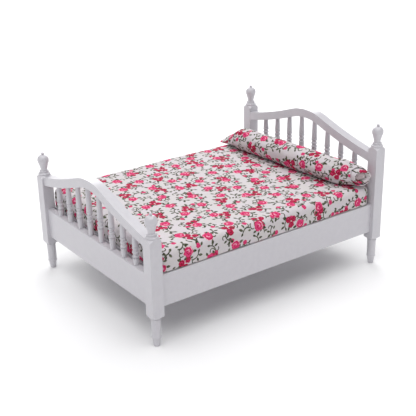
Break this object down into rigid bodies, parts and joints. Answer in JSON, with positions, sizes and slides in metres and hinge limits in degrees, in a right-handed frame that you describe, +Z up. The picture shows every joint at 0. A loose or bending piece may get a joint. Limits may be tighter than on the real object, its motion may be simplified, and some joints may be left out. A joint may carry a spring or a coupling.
{
  "type": "dolls house bed",
  "caption": "Miniature wooden double bed with turned corner posts, arched spindle head and foot boards, side rails, a fabric-covered mattress and a rolled bolster.",
  "frame": {"origin": "on the floor, under the middle of the bed", "axes": "+Z up, +Y from the foot board to the head board, +X towards the sleeper's left-hand side as seen from the foot: the right side when looking at the head board"},
  "size_m": [0.1348, 0.1782, 0.0962],
  "materials": {
    "painted_wood": "satin white paint over fine-grained wood",
    "printed_cotton": "fine plain-weave cotton with a small rose print",
    "foam": "soft open-cell foam",
    "card": "stiff grey-brown card",
    "wadding": "soft fibre wadding"
  },
  "bodies": {
    "bed_frame": {"head_post_left": "painted_wood", "head_post_right": "painted_wood", "foot_post_left": "painted_wood", "foot_post_right": "painted_wood", "head_top_rail": "painted_wood", "head_lower_rail": "painted_wood", "foot_top_rail": "painted_wood", "foot_lower_rail": "painted_wood", "head_spindle_1": "painted_wood", "head_spindle_2": "painted_wood", "head_spindle_3": "painted_wood", "head_spindle_4": "painted_wood", "head_spindle_5": "painted_wood", "head_spindle_6": "painted_wood", "head_spindle_7": "painted_wood", "head_spindle_8": "painted_wood", "foot_spindle_1": "painted_wood", "foot_spindle_2": "painted_wood", "foot_spindle_3": "painted_wood", "foot_spindle_4": "painted_wood", "foot_spindle_5": "painted_wood", "foot_spindle_6": "painted_wood", "foot_spindle_7": "painted_wood", "foot_spindle_8": "painted_wood", "side_rail_left": "painted_wood", "side_rail_right": "painted_wood", "cleat_left": "painted_wood", "cleat_right": "painted_wood", "base_board": "painted_wood"},
    "mattress": {"mattress_cover": "printed_cotton", "mattress_foam": "foam", "mattress_card": "card"},
    "bolster": {"bolster_cover": "printed_cotton", "bolster_wadding": "wadding"}
  },
  "joints": [
    {"name": "mattress_lift", "type": "slide", "parent": "bed_frame", "child": "mattress", "axis": [0, 0, 1], "range_m": [0, 0.06]},
    {"name": "bolster_lift", "type": "slide", "parent": "mattress", "child": "bolster", "axis": [0, 0, 1], "range_m": [0, 0.045]}
  ]
}
